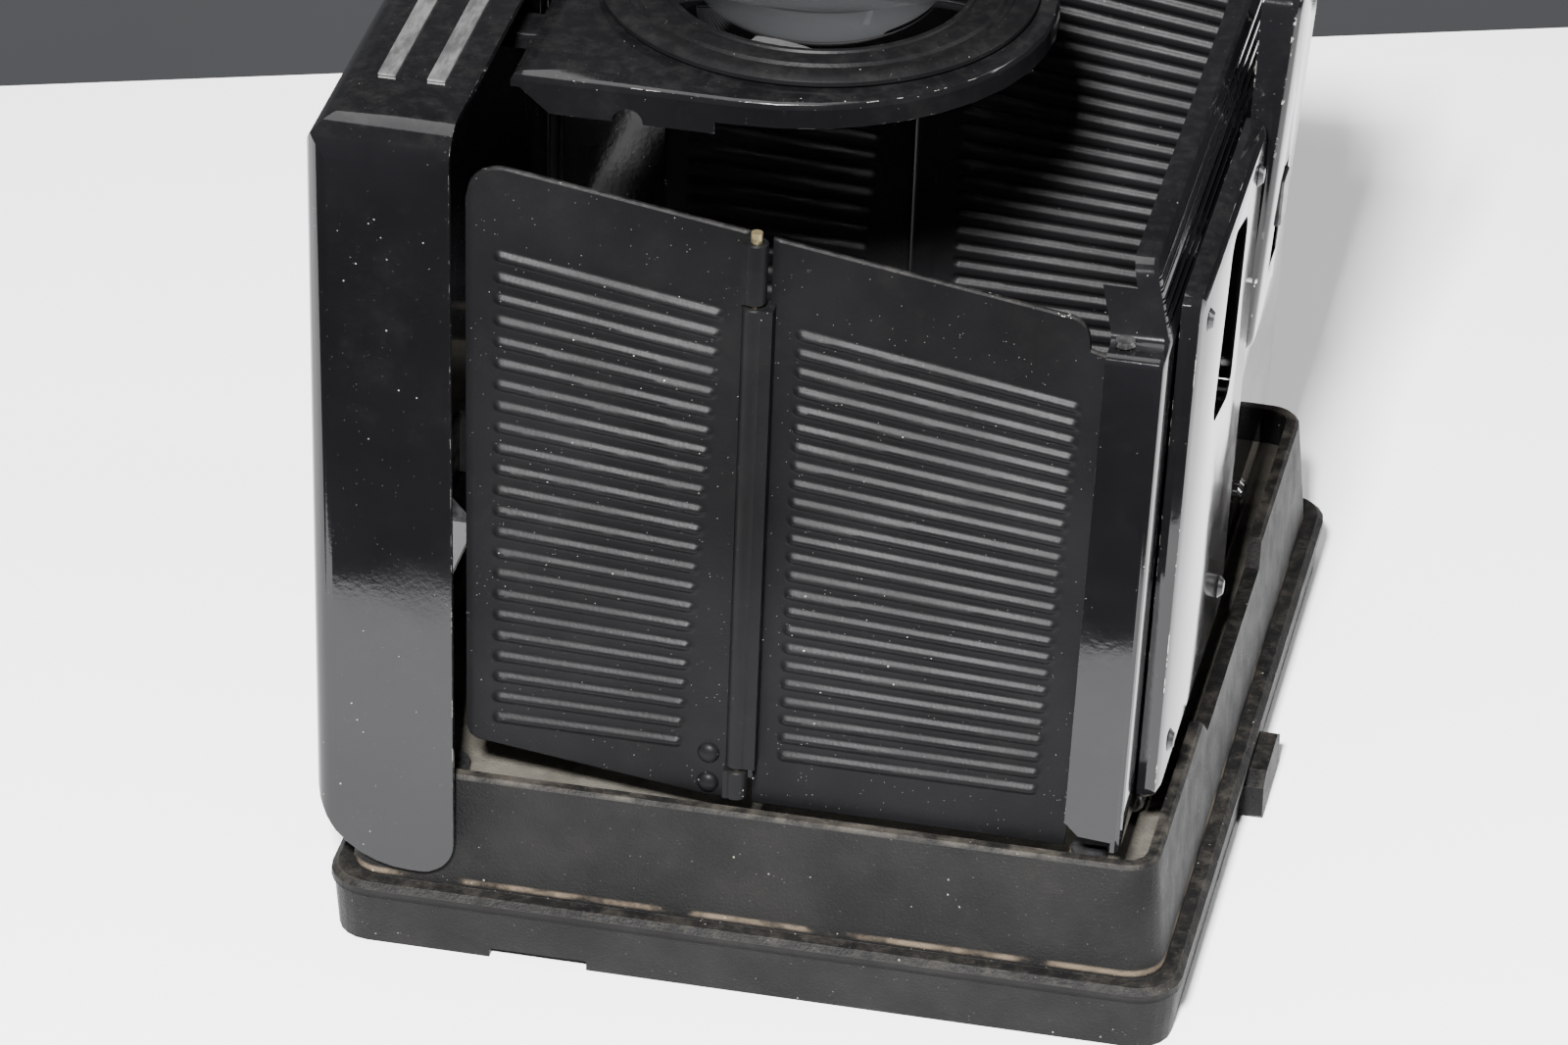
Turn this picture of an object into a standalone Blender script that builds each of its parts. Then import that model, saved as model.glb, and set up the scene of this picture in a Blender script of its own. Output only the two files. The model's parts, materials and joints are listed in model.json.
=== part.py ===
"""Folding waist-level finder with a swing-out magnifier, standing open.

Metres, +Z up.  X runs from the lid side (negative) to the rear wall, Y from the near side wall
(negative) to the far one.  The origin is the centre of the underside of the base.
"""
import bpy
import bmesh
from math import cos, pi, radians, sin, sqrt, tan
from mathutils import Matrix, Vector

MM = 0.001

# base
BASE_X = 96.0            # flange, lid side to rear side
BASE_Y = 110.0           # flange, near side to far side
FLANGE_TOP = 7.9
FLANGE_STEP = 6.4        # height of the step line round the flange
SKIRT_DRAFT = 0.9        # how far the skirt tapers in at the bottom
COLLAR_INSET = 2.2       # flange edge to the foot of the collar
RIM_INSET = 3.4          # flange edge to the rim of the collar
RIM_Z = 21.6
RIM_WALL = 1.5
DECK_Z = 17.0
DECK_T = 2.0
SCREEN_X = 60.0          # screen opening
SCREEN_Y = 74.0
FLANGE_R = 5.0
FINGER_HALF = 18.0       # finger notch in the rear rim
FINGER_DEPTH = 2.6

# sheet metal
SHEET = 0.8
GAP = 0.3                # between touching pieces
RUN = 0.4                # between moving pieces

# lid
LID_X0 = -BASE_X / 2 - 1.2           # outer face of the lid, at its foot
LID_DEPTH = 16.0         # width of its side flaps and end flange
LID_HALF = BASE_Y / 2 - 1.0          # outer face of the side flaps
LID_BOTTOM = 10.0
LID_TOP = 102.5
LID_BEND = 4.5           # outside radius of the bends
LID_PIVOT_X = LID_X0 + 8.7
LID_PIVOT_Z = 12.0
PIVOT_R = 1.5
STRIPE_W = 1.9
STRIPE_PITCH = 5.4
STRIPE_T = 0.25
STRIPE_HALF = 42.5

# side walls
WALL_Y = BASE_Y / 2 - 6.0            # outer face of the side panels
MID_X = -2.4             # hinge between the two halves
MID_OUT = 1.0            # how far that hinge stands out from the outer face
HINGE_PIN_R = 0.6
KNUCKLE_R = HINGE_PIN_R + 0.65
POST_X = BASE_X / 2 - 12.4            # hinge at the rear wall, at its foot
POST_IN = 1.2            # how far that hinge sits inside the outer face
POST_KNUCKLE_R = HINGE_PIN_R + 0.5
FRONT_END_X = LID_X0 + 16.2
TOP_FRONT_Z = 97.4       # panel top at the free edge
TOP_SLOPE = 0.157        # drop per millimetre toward the rear
PANEL_BOTTOM = 21.6
FRONT_LIFT_Z = 25.2      # bottom corner of the front half at its free edge
RIB_H = 0.5
RIB_W = 1.25
FRONT_RIBS = 23
REAR_RIBS = 24
RIB_LOW_Z = 28.3

# rear wall
REAR_X = BASE_X / 2 - 7.7            # outer face, at its foot
SHELF_IN = 3.8           # width of the low shelf at each upper corner
REAR_HALF = BASE_Y / 2 - 4.7
REAR_TOP = 93.0
REAR_CORNER_Z = 84.0
REAR_BOTTOM = 22.4
SIDE_FLANGE_X = REAR_X - 6.3
LIP_X = REAR_X - 2.6
REAR_PIVOT_X = BASE_X / 2 - 9.1
REAR_PIVOT_Z = 19.4
REAR_KNUCKLE_R = 1.4
REAR_PIN_R = 0.8
PLATE_T = 2.4            # raised plate on the outer face
PLATE_Y0, PLATE_Y1 = -43.0, 0.0
PLATE_Z0, PLATE_Z1 = 24.5, 88.0
HOUSING_Y0, HOUSING_Y1 = 2.0, 20.0
HOUSING_Z0, HOUSING_Z1 = 56.0, 101.5
HOUSING_T = 4.6
HOUSING_TAPER = 2.0      # how much thinner it is at its foot
SLIDE_Y = 11.0           # middle of the catch slide

# magnifier
LENS_X = -5.5
LENS_R = 17.6
LENS_EDGE_T = 2.4
LENS_BULGE = 4.2
RING_OUT = 24.4
RING_IN = 16.8
MAG_HALF = 28.3
MAG_LEFT = LID_X0 + 15.6
MAG_Z = 97.0             # top face of the plate
MAG_T = 0.9
MAG_FLANGE = 4.4
MAG_ROUND_FLANGE = 3.0   # shallower stretch round the end
MAG_END_X = -9.0         # centre of the round end
MAG_END_R = 30.0         # its reach along X
MAG_PIVOT_X = LID_X0 + 3.2
MAG_PIVOT_Z = 95.0
MAG_PIN_R = 0.9
ARM_Y0, ARM_Y1 = 14.0, 19.0
EAR_Y = 20.0

# how the upright pieces lean, in degrees, above the height where the lean starts
LEAN_Z = 22.0
LID_LEAN = -0.6
MID_LEAN = 0.65
POST_LEAN = 1.9
BAND_Z = 84.0            # the rear wall turns inward above this height
BAND_BACK = 0.229        # inward slope of that band

scene_objects = list(bpy.data.objects)
for old in scene_objects:
    bpy.data.objects.remove(old, do_unlink=True)


def collection(name):
    made = bpy.data.collections.new(name)
    bpy.context.scene.collection.children.link(made)
    return made


finder = collection("folding_finder")
cutters = collection("cutters")


def material(name, colour, metallic=0.0, roughness=0.5, transmission=0.0):
    made = bpy.data.materials.new(name)
    made.use_nodes = True
    shader = made.node_tree.nodes["Principled BSDF"]
    shader.inputs["Base Color"].default_value = (*colour, 1.0)
    shader.inputs["Metallic"].default_value = metallic
    shader.inputs["Roughness"].default_value = roughness
    shader.inputs["Transmission Weight"].default_value = transmission
    return made


finishes = {
    "cast": ((0.028, 0.028, 0.030), 0.0, 0.75),
    "gloss": ((0.010, 0.010, 0.011), 0.0, 0.18),
    "satin": ((0.020, 0.020, 0.022), 0.0, 0.38),
    "steel": ((0.55, 0.55, 0.56), 1.0, 0.32),
    "brass": ((0.62, 0.47, 0.25), 1.0, 0.35),
    "silver": ((0.72, 0.72, 0.73), 1.0, 0.40),
    "black_steel": ((0.06, 0.06, 0.065), 1.0, 0.40),
}


def finish(ob, kind, name=None):
    if kind == "glass":
        mat = material((name or ob.name) + "_glass", (0.95, 0.97, 0.98), 0.0, 0.02, 1.0)
    else:
        colour, metallic, roughness = finishes[kind]
        mat = material((name or ob.name) + "_" + kind, colour, metallic, roughness)
    ob.data.materials.clear()
    ob.data.materials.append(mat)
    return ob


def new_object(name, bm, where=None):
    bmesh.ops.recalc_face_normals(bm, faces=bm.faces[:])
    mesh = bpy.data.meshes.new(name)
    bm.to_mesh(mesh)
    bm.free()
    ob = bpy.data.objects.new(name, mesh)
    (where or finder).objects.link(ob)
    return ob


def hidden(ob):
    ob.hide_render = True
    ob.display_type = "WIRE"
    return ob


def rounded(points, radii, steps=5):
    """Outline with each corner replaced by an arc of its own radius."""
    out = []
    count = len(points)
    for i, p in enumerate(points):
        p = Vector(p)
        r = radii[i] if hasattr(radii, "__len__") else radii
        a = Vector(points[i - 1]) - p
        b = Vector(points[(i + 1) % count]) - p
        if r <= 0:
            out.append(tuple(p))
            continue
        half = a.angle(b) / 2
        reach = r / (sin(half) / cos(half))
        centre = p + (a.normalized() + b.normalized()).normalized() * (r / sin(half))
        start = p + a.normalized() * reach - centre
        finish_at = p + b.normalized() * reach - centre
        sweep = pi - 2 * half
        turn = 1 if (start.x * finish_at.y - start.y * finish_at.x) > 0 else -1
        for k in range(steps + 1):
            t = turn * sweep * k / steps
            out.append((centre.x + start.x * cos(t) - start.y * sin(t),
                        centre.y + start.x * sin(t) + start.y * cos(t)))
    return out


def place(axis, u, v, w):
    """Point from outline coordinates u, v and height w along the axis."""
    return {"X": (w, u, v), "Y": (u, w, v), "Z": (u, v, w)}[axis]


def welded_mesh(ob, matrix):
    """Mesh of an evaluated curve object, closed and in place."""
    deps = bpy.context.evaluated_depsgraph_get()
    mesh = bpy.data.meshes.new_from_object(ob.evaluated_get(deps))
    mesh.transform(matrix)
    bm = bmesh.new()
    bm.from_mesh(mesh)
    bmesh.ops.remove_doubles(bm, verts=bm.verts[:], dist=1e-6)
    bmesh.ops.recalc_face_normals(bm, faces=bm.faces[:])
    bm.to_mesh(mesh)
    bm.free()
    return mesh


def prism(name, outline, axis, low, high, where=None):
    """Flat outline filled and extruded along an axis between two heights."""
    curve = bpy.data.curves.new(name, "CURVE")
    curve.dimensions = "2D"
    curve.fill_mode = "BOTH"
    curve.extrude = (high - low) / 2 * MM
    line = curve.splines.new("POLY")
    line.points.add(len(outline) - 1)
    line.use_cyclic_u = True
    for spot, (u, v) in zip(line.points, outline):
        spot.co = (u * MM, v * MM, 0.0, 1.0)
    ob = bpy.data.objects.new(name, curve)
    (where or finder).objects.link(ob)
    turn = {"X": Matrix(((0, 0, 1), (1, 0, 0), (0, 1, 0))), "Y": Matrix(((1, 0, 0), (0, 0, -1), (0, 1, 0))),
            "Z": Matrix.Identity(3)}[axis].to_4x4()
    middle = Vector(place(axis, 0.0, 0.0, (low + high) / 2)) * MM
    mesh = welded_mesh(ob, Matrix.Translation(middle) @ turn)
    bpy.data.objects.remove(ob, do_unlink=True)
    bm = bmesh.new()
    bm.from_mesh(mesh)
    bmesh.ops.dissolve_limit(bm, angle_limit=radians(0.5), verts=bm.verts[:], edges=bm.edges[:])
    return new_object(name, bm, where)


def box_bm(x0, x1, y0, y1, z0, z1, bm=None):
    bm = bm or bmesh.new()
    made = bmesh.ops.create_cube(bm, size=1.0)
    for v in made["verts"]:
        v.co = Vector(((x0 + x1) / 2 + v.co.x * (x1 - x0), (y0 + y1) / 2 + v.co.y * (y1 - y0),
                       (z0 + z1) / 2 + v.co.z * (z1 - z0))) * MM
    return bm


def box(name, x0, x1, y0, y1, z0, z1, where=None, bevel=0.0):
    ob = new_object(name, box_bm(x0, x1, y0, y1, z0, z1), where)
    if bevel:
        soften(ob, bevel)
    return ob


def rod_bm(axis, centre, radius, low, high, sides=24, bm=None, radius2=None):
    bm = bm or bmesh.new()
    made = bmesh.ops.create_cone(bm, cap_ends=True, segments=sides, radius1=radius * MM,
                                 radius2=(radius if radius2 is None else radius2) * MM,
                                 depth=(high - low) * MM)
    turn = {"X": Matrix.Rotation(pi / 2, 4, "Y"), "Y": Matrix.Rotation(-pi / 2, 4, "X"),
            "Z": Matrix.Identity(4)}[axis]
    middle = Vector(place(axis, centre[0], centre[1], (low + high) / 2)) * MM
    bmesh.ops.transform(bm, matrix=Matrix.Translation(middle) @ turn, verts=made["verts"])
    return bm


def rod(name, axis, centre, radius, low, high, sides=24, where=None, radius2=None):
    return new_object(name, rod_bm(axis, centre, radius, low, high, sides, None, radius2), where)


def rounded_box_bm(levels, steps=5, bm=None):
    """Stack of rounded rectangles; each level is (z, half x, half y, corner radius)."""
    bm = bm or bmesh.new()
    rings = []
    for z, hx, hy, r in levels:
        corners = [(-hx, -hy), (hx, -hy), (hx, hy), (-hx, hy)]
        rings.append([bm.verts.new(Vector((u, v, z)) * MM) for u, v in rounded(corners, r, steps)])
    bm.faces.new(rings[0])
    bm.faces.new(rings[-1])
    for low, high in zip(rings, rings[1:]):
        for i in range(len(low)):
            j = (i + 1) % len(low)
            bm.faces.new((low[i], low[j], high[j], high[i]))
    return bm


def turned(name, profile, axis_at, closed=True, sides=48):
    """Ring or disc from a radius and height profile, screwed about +Z.

    A profile that starts and ends on the axis is left open there.
    """
    bm = bmesh.new()
    verts = [bm.verts.new(Vector((r, 0.0, z)) * MM) for r, z in profile]
    for v, w in zip(verts, verts[1:]):
        bm.edges.new((v, w))
    if closed:
        bm.edges.new((verts[-1], verts[0]))
    mesh = bpy.data.meshes.new(name)
    bm.to_mesh(mesh)
    bm.free()
    ob = bpy.data.objects.new(name, mesh)
    finder.objects.link(ob)
    mod = ob.modifiers.new("turn", "SCREW")
    mod.axis = "Z"
    mod.angle = 2 * pi
    mod.steps = sides
    mod.render_steps = sides
    mod.use_merge_vertices = True
    mod.merge_threshold = 0.00001
    mod.use_smooth_shade = True
    mod.use_normal_calculate = True
    mod.use_normal_flip = True
    ob.location = Vector((axis_at[0], axis_at[1], 0.0)) * MM
    return ob


def lid_shift(x, z):
    return tan(radians(LID_LEAN)) * (z - LEAN_Z)


def panel_shift(x, z):
    share = (x - MID_X) / (POST_X - MID_X)
    return tan(radians(MID_LEAN + (POST_LEAN - MID_LEAN) * share)) * (z - LEAN_Z)


def post_shift(x, z):
    return tan(radians(POST_LEAN)) * (z - LEAN_Z)


def wall_shift(x, z):
    if z <= LEAN_Z:
        return 0.0
    return post_shift(x, min(z, BAND_Z)) - BAND_BACK * max(0.0, z - BAND_Z)


def settle(ob):
    """Make the cut shape the piece's own mesh, and drop what cut it."""
    bpy.context.view_layer.update()
    depsgraph = bpy.context.evaluated_depsgraph_get()
    ob.data = bpy.data.meshes.new_from_object(ob.evaluated_get(depsgraph))
    for mod in list(ob.modifiers):
        if mod.type == "BOOLEAN":
            bpy.data.objects.remove(mod.object, do_unlink=True)
        ob.modifiers.remove(mod)
    return ob


def lean(ob, shift):
    """Lean a piece and whatever cuts or joins it by the same rule."""
    pieces = [ob]
    for piece in pieces:
        pieces += [mod.object for mod in piece.modifiers if mod.type == "BOOLEAN"]
        bm = bmesh.new()
        bm.from_mesh(piece.data)
        for height in (LEAN_Z, BAND_Z) if shift is wall_shift else (LEAN_Z,):
            bmesh.ops.bisect_plane(bm, geom=bm.verts[:] + bm.edges[:] + bm.faces[:], dist=1e-7,
                                   plane_co=(0, 0, height * MM), plane_no=(0, 0, 1))
        for v in bm.verts:
            v.co.x += shift(v.co.x / MM, max(v.co.z / MM, LEAN_Z)) * MM
        bm.to_mesh(piece.data)
        bm.free()
    return ob


def hang_turned(ob, empty):
    """Hang a screwed piece without moving its own axis off the profile."""
    ob.location -= empty.location
    ob.parent = empty


def soften(ob, width, segments=2, angle=35):
    mod = ob.modifiers.new("soft_edges", "BEVEL")
    mod.width = width * MM
    mod.segments = segments
    mod.limit_method = "ANGLE"
    mod.angle_limit = radians(angle)
    return mod


def bend_long_edges(ob, test, width, segments=2):
    """Round the edges of a mesh whose two ends both pass the test."""
    bm = bmesh.new()
    bm.from_mesh(ob.data)
    chosen = [e for e in bm.edges if all(test(v.co / MM) for v in e.verts)]
    bmesh.ops.bevel(bm, geom=chosen, offset=width * MM, segments=segments, affect="EDGES",
                    profile=0.5, material=-1, clamp_overlap=True)
    bm.to_mesh(ob.data)
    bm.free()
    return ob


def boolean(ob, other, operation):
    hidden(other)
    mod = ob.modifiers.new(other.name, "BOOLEAN")
    mod.operation = operation
    mod.solver = "EXACT"
    mod.object = other
    return mod


def cut(ob, other):
    return boolean(ob, other, "DIFFERENCE")


def add(ob, other):
    return boolean(ob, other, "UNION")


def shade(ob):
    for poly in ob.data.polygons:
        poly.use_smooth = True
    ob.data.set_sharp_from_angle(angle=radians(32))
    return ob


def parent(child, mother):
    child.parent = mother
    child.matrix_parent_inverse = mother.matrix_world.inverted()


def pivot(name, x, y, z):
    """Empty on a joint axis; the moving pieces hang from it."""
    empty = bpy.data.objects.new(name, None)
    empty.location = Vector((x, y, z)) * MM
    finder.objects.link(empty)
    return empty


def hang(piece, empty):
    """Move the piece's own origin onto the joint axis and hang it there."""
    offset = empty.location.copy()
    piece.data.transform(Matrix.Translation(-offset))
    for mod in piece.modifiers:
        if mod.type == "BOOLEAN" and mod.object and mod.object.parent is None:
            cutter = mod.object
            cutter.data.transform(Matrix.Translation(-offset))
            cutter.parent = empty
    piece.parent = empty
    piece.location = (0, 0, 0)


def coil(name, axis, centre, mean_r, wire_r, low, high, turns, leg=3.0):
    """Torsion spring on a joint axis, with two short straight legs."""
    points = []
    per_turn = 12
    steps = int(turns * per_turn)
    for k in range(steps + 1):
        a = 2 * pi * k / per_turn
        w = low + (high - low) * k / steps
        points.append(place(axis, centre[0] + mean_r * cos(a), centre[1] + mean_r * sin(a), w))
    first = Vector(points[0]) + Vector(place(axis, 0, leg, 0))
    last_a = 2 * pi * steps / per_turn
    last = Vector(points[-1]) + Vector(place(axis, -leg * sin(last_a), leg * cos(last_a), 0))
    points = [tuple(first)] + points + [tuple(last)]
    curve = bpy.data.curves.new(name, "CURVE")
    curve.dimensions = "3D"
    curve.bevel_depth = wire_r * MM
    curve.bevel_resolution = 1
    curve.use_fill_caps = True
    line = curve.splines.new("POLY")
    line.points.add(len(points) - 1)
    for spot, co in zip(line.points, points):
        spot.co = (*(Vector(co) * MM), 1.0)
    ob = bpy.data.objects.new(name, curve)
    finder.objects.link(ob)
    return ob


# ------------------------------------------------------------------ base
half_x, half_y = BASE_X / 2, BASE_Y / 2


def build_base():
    base = new_object("base_frame", rounded_box_bm([
        (0.0, half_x - SKIRT_DRAFT, half_y - SKIRT_DRAFT, FLANGE_R - SKIRT_DRAFT),
        (FLANGE_STEP, half_x - 0.35, half_y - 0.35, FLANGE_R - 0.35),
        (FLANGE_STEP, half_x, half_y, FLANGE_R),
        (FLANGE_TOP - 0.6, half_x, half_y, FLANGE_R),
        (FLANGE_TOP, half_x - 0.7, half_y - 0.7, FLANGE_R - 0.7),
        (FLANGE_TOP, half_x - COLLAR_INSET, half_y - COLLAR_INSET, FLANGE_R - 1.0),
        (RIM_Z - 0.4, half_x - RIM_INSET, half_y - RIM_INSET, FLANGE_R - 1.4),
        (RIM_Z, half_x - RIM_INSET - 0.4, half_y - RIM_INSET - 0.4, FLANGE_R - 1.8)]))
    well_x, well_y = half_x - RIM_INSET - RIM_WALL, half_y - RIM_INSET - RIM_WALL
    cut(base, new_object("base_well", rounded_box_bm([
        (DECK_Z, well_x, well_y, 2.2), (RIM_Z + 4, well_x, well_y, 2.2)], 3), cutters))
    under_x, under_y = half_x - 4.4, half_y - 5.4
    cut(base, new_object("base_underside", rounded_box_bm([
        (-2.0, under_x, under_y, 2.0), (DECK_Z - DECK_T, under_x, under_y, 2.0)], 3), cutters))
    cut(base, box("screen_opening", -SCREEN_X / 2, SCREEN_X / 2, -SCREEN_Y / 2, SCREEN_Y / 2,
                  DECK_Z - 6, DECK_Z + 6, cutters))
    slope = FINGER_DEPTH * 1.6
    cut(base, prism("finger_notch", [
        (-FINGER_HALF, RIM_Z - FINGER_DEPTH), (FINGER_HALF, RIM_Z - FINGER_DEPTH),
        (FINGER_HALF + slope, RIM_Z + 1.6), (-FINGER_HALF - slope, RIM_Z + 1.6)],
        "X", well_x - 1.0, half_x, cutters))
    cut(base, box("edge_notch", -29, -18, -half_y - 1, -half_y + 2.4, -1, 1.2, cutters))
    for side, tag in ((-1, "near"), (1, "far")):
        cut(base, rod("stud_hole_" + tag, "Y", (LID_PIVOT_X, LID_PIVOT_Z), PIVOT_R + GAP,
                      *sorted((side * (half_y - 12), side * (half_y + 2))), 20, cutters))
        # hinge bosses for the rear wall, with a pin hole through each
        for k, (a, b) in enumerate(((12.0, 19.6), (26.4, 31.0))):
            lo, hi = sorted((side * a, side * b))
            bm = rod_bm("Y", (REAR_PIVOT_X, REAR_PIVOT_Z), REAR_KNUCKLE_R, lo, hi, 20)
            ob = new_object("hinge_boss_%s_%d" % (tag, k), bm, cutters)
            add(base, ob)
            add(base, box("hinge_web_%s_%d" % (tag, k), REAR_PIVOT_X - 1.0, REAR_PIVOT_X + 1.0,
                          lo, hi, DECK_Z - 0.5, REAR_PIVOT_Z, cutters))
        lo, hi = sorted((side * 11.0, side * 32.0))
        cut(base, rod("hinge_bore_" + tag, "Y", (REAR_PIVOT_X, REAR_PIVOT_Z),
                      REAR_PIN_R + 0.25, lo, hi, 16, cutters))
        for end in (-1, 1):
            cut(base, rod("screw_hole_%s_%d" % (tag, end), "Z", (end * 36.0, side * 43.5), 1.0 + GAP,
                          DECK_Z - 4, DECK_Z + 1, 16, cutters))
    # lock hook under the rear edge
    add(base, prism("lock_hook", [(-6.0, 0.8), (6.0, 0.8), (6.0, 4.6), (4.0, 5.8), (-4.0, 5.8), (-6.0, 4.6)],
                    "X", half_x - 3.0, half_x + 2.0, cutters))
    finish(base, "cast")
    shade(base)
    return base


base_frame = build_base()

for sx, end in ((-1, "lid"), (1, "rear")):
    for sy, tag in ((-1, "near"), (1, "far")):
        x, y = sx * 36.0, sy * 43.5
        name = "base_screw_%s_%s" % (tag, end)
        screw = rod(name, "Z", (x, y), 1.0, DECK_Z - 3.4, DECK_Z + GAP + 0.1, 16)
        add(screw, rod(name + "_head", "Z", (x, y), 2.0, DECK_Z + GAP, DECK_Z + 1.4, 20, cutters))
        cut(screw, box(name + "_slot", x - 3, x + 3, y - 0.3, y + 0.3, DECK_Z + 0.9, DECK_Z + 2, cutters))
        shade(finish(screw, "black_steel"))

# ------------------------------------------------------------------ lid
lid_axis = pivot("lid_axis", LID_PIVOT_X, 0.0, LID_PIVOT_Z)


def keep_common(ob, other):
    return boolean(ob, other, "INTERSECT")


def pan(name, inset, where):
    """Block with the bends of the lid: inset 0 is its outside, the sheet thickness its inside."""
    x0, x1 = LID_X0 + inset, LID_X0 + LID_DEPTH
    top, half, bend = LID_TOP - inset, LID_HALF - inset, LID_BEND - inset
    if inset:
        side = rounded([(x0, -5), (x1 + 5, -5), (x1 + 5, top), (x0, top)], (0, 0, 0, bend), 9)
        x1 += 6
    else:
        side = rounded([(x0, LID_BOTTOM), (x1, LID_BOTTOM), (x1, top), (x0, top)],
                       (11.0, 4.0, 0.0, bend), 9)
    block = prism(name, side, "Y", -half, half, where)
    keep_common(block, prism(name + "_end_view", rounded(
        [(-half, -8), (half, -8), (half, top), (-half, top)], (0, 0, bend, bend), 9), "X",
        x0 - 1, x1 + 1, cutters))
    keep_common(block, prism(name + "_top_view", rounded(
        [(x0, -half), (x1 + 2, -half), (x1 + 2, half), (x0, half)], (bend * 0.6, 0, 0, bend * 0.6), 7),
        "Z", -9, top + 1, cutters))
    return block


def build_lid():
    lid = pan("lid_shell", 0.0, finder)
    cut(lid, pan("lid_hollow", SHEET, cutters))
    cut(lid, box("lid_foot", LID_X0 - 1, LID_X0 + 3, -LID_HALF + 2.5, LID_HALF - 2.5,
                 LID_BOTTOM - 2, 21.0, cutters))
    finish(lid, "gloss")
    lean(lid, lid_shift)
    shade(lid)
    hang(lid, lid_axis)
    return lid


lid_shell = build_lid()

stripe_x = LID_X0 + LID_DEPTH / 2 + 1.1 + lid_shift(0, LID_TOP)
for k, tag in ((-0.5, "outer"), (0.5, "inner")):
    mid = stripe_x + k * STRIPE_PITCH
    stripe = box("lid_stripe_" + tag, mid - STRIPE_W / 2, mid + STRIPE_W / 2, -STRIPE_HALF, STRIPE_HALF,
                 LID_TOP + 0.05, LID_TOP + 0.05 + STRIPE_T)
    hang(finish(stripe, "silver"), lid_axis)

for side, tag in ((-1, "near"), (1, "far")):
    lo, hi = sorted((side * (LID_HALF - SHEET - 0.25), side * 45.0))
    stud = rod("lid_pivot_stud_" + tag, "Y", (LID_PIVOT_X, LID_PIVOT_Z), PIVOT_R, lo, hi, 20)
    hang(shade(finish(stud, "steel")), lid_axis)


def meshed(ob):
    """Turn a curve object into a closed mesh object of the same name."""
    mesh = welded_mesh(ob, Matrix.Identity(4))
    name = ob.name
    bpy.data.objects.remove(ob, do_unlink=True)
    made = bpy.data.objects.new(name, mesh)
    finder.objects.link(made)
    return shade(made)


for side, tag in ((-1, "near"), (1, "far")):
    lo, hi = sorted((side * 45.6, side * 48.4))
    spring = meshed(coil("lid_spring_" + tag, "Y", (LID_PIVOT_X, LID_PIVOT_Z), 2.15, 0.3, lo, hi, 3.5, 2.0))
    finish(spring, "steel")

# catch that holds the folded magnifier against the lid
catch = box("magnifier_catch", LID_X0 + SHEET + GAP, LID_X0 + SHEET + GAP + 0.9, -5, 5, 23.0, 34.0)
add(catch, prism("catch_nose", [(LID_X0 + SHEET + GAP + 0.5, 24.0), (LID_X0 + 5.0, 24.0),
                                (LID_X0 + 5.0, 25.4), (LID_X0 + 3.2, 27.4),
                                (LID_X0 + SHEET + GAP + 0.5, 27.4)], "Y", -3, 3, cutters))
soften(catch, 0.2, 1)
hang(finish(catch, "black_steel"), lid_axis)

# ------------------------------------------------------------------ rear wall
rear_axis = pivot("rear_axis", REAR_PIVOT_X, 0.0, REAR_PIVOT_Z)
post_y = WALL_Y - POST_IN


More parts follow.
